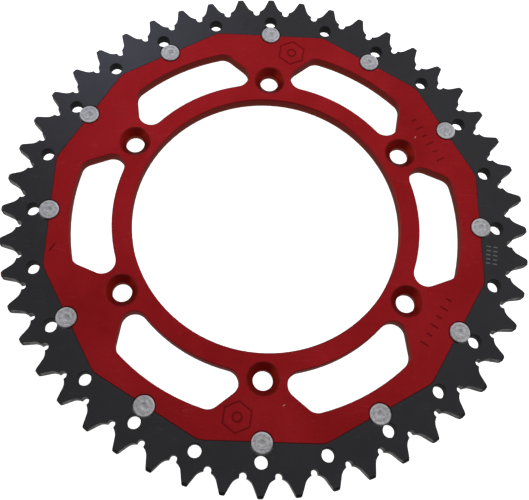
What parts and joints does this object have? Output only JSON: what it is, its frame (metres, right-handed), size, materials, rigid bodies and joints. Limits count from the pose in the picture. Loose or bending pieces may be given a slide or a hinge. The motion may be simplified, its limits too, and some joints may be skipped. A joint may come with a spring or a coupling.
{
  "type": "rear sprocket",
  "caption": "Motorcycle rear sprocket for a 520 chain: a black steel tooth ring riveted to a red anodised aluminium carrier with a large hub bore, countersunk bolt holes and open slots.",
  "frame": {"origin": "centre of the hub bore, on the carrier's mounting face (the back)", "axes": "+Z along the axle line, from the mounting face to the outer face with the rivet heads; +Y through a tooth, a rivet and a bolt hole; the sprocket lies flat in XY"},
  "size_m": [0.2485, 0.2484, 0.0069],
  "materials": {
    "anodised_red": "red anodised, satin",
    "black_steel": "black coated steel, satin",
    "rivet_steel": "plain steel, slightly mottled"
  },
  "bodies": {
    "root": {"carrier": "anodised_red", "tooth_ring": "black_steel", "rivet_01": "rivet_steel", "rivet_02": "rivet_steel", "rivet_03": "rivet_steel", "rivet_04": "rivet_steel", "rivet_05": "rivet_steel", "rivet_06": "rivet_steel", "rivet_07": "rivet_steel", "rivet_08": "rivet_steel", "rivet_09": "rivet_steel", "rivet_10": "rivet_steel", "rivet_11": "rivet_steel", "rivet_12": "rivet_steel"}
  },
  "joints": []
}
